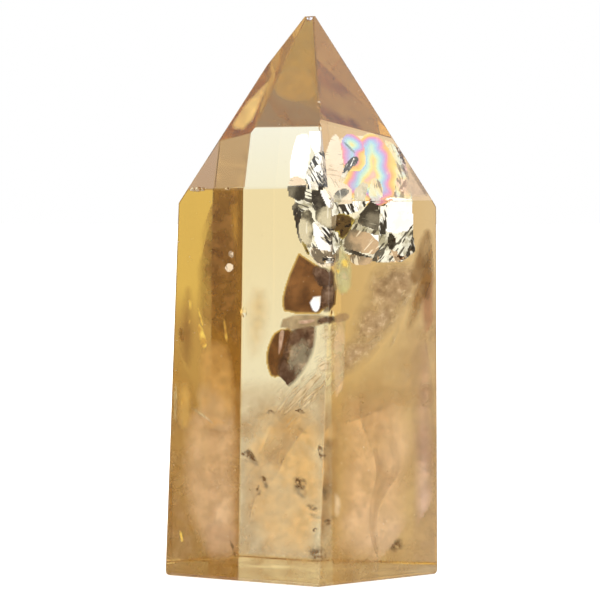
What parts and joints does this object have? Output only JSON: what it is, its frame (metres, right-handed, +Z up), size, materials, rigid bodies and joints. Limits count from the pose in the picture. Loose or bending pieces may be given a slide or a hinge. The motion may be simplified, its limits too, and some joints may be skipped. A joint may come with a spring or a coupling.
{
  "type": "lemon topaz point",
  "caption": "Polished six-sided tower of clear golden quartz with a pointed faceted crown and a flat ground base to stand on.",
  "frame": {"origin": "middle of the bounding box's footprint, on the ground base", "axes": "+Z up the tower to its tip, -Y to the front, where the edge between the wide front left side and the front right side stands nearest, +X to the right"},
  "size_m": [0.0392, 0.037, 0.08],
  "materials": {
    "golden_quartz": "polished clear golden quartz, clear and lemon yellow above, cloudy tan below, with bright and rainbow fractures under the shoulders"
  },
  "bodies": {
    "root": {"crystal": "golden_quartz"}
  },
  "joints": []
}
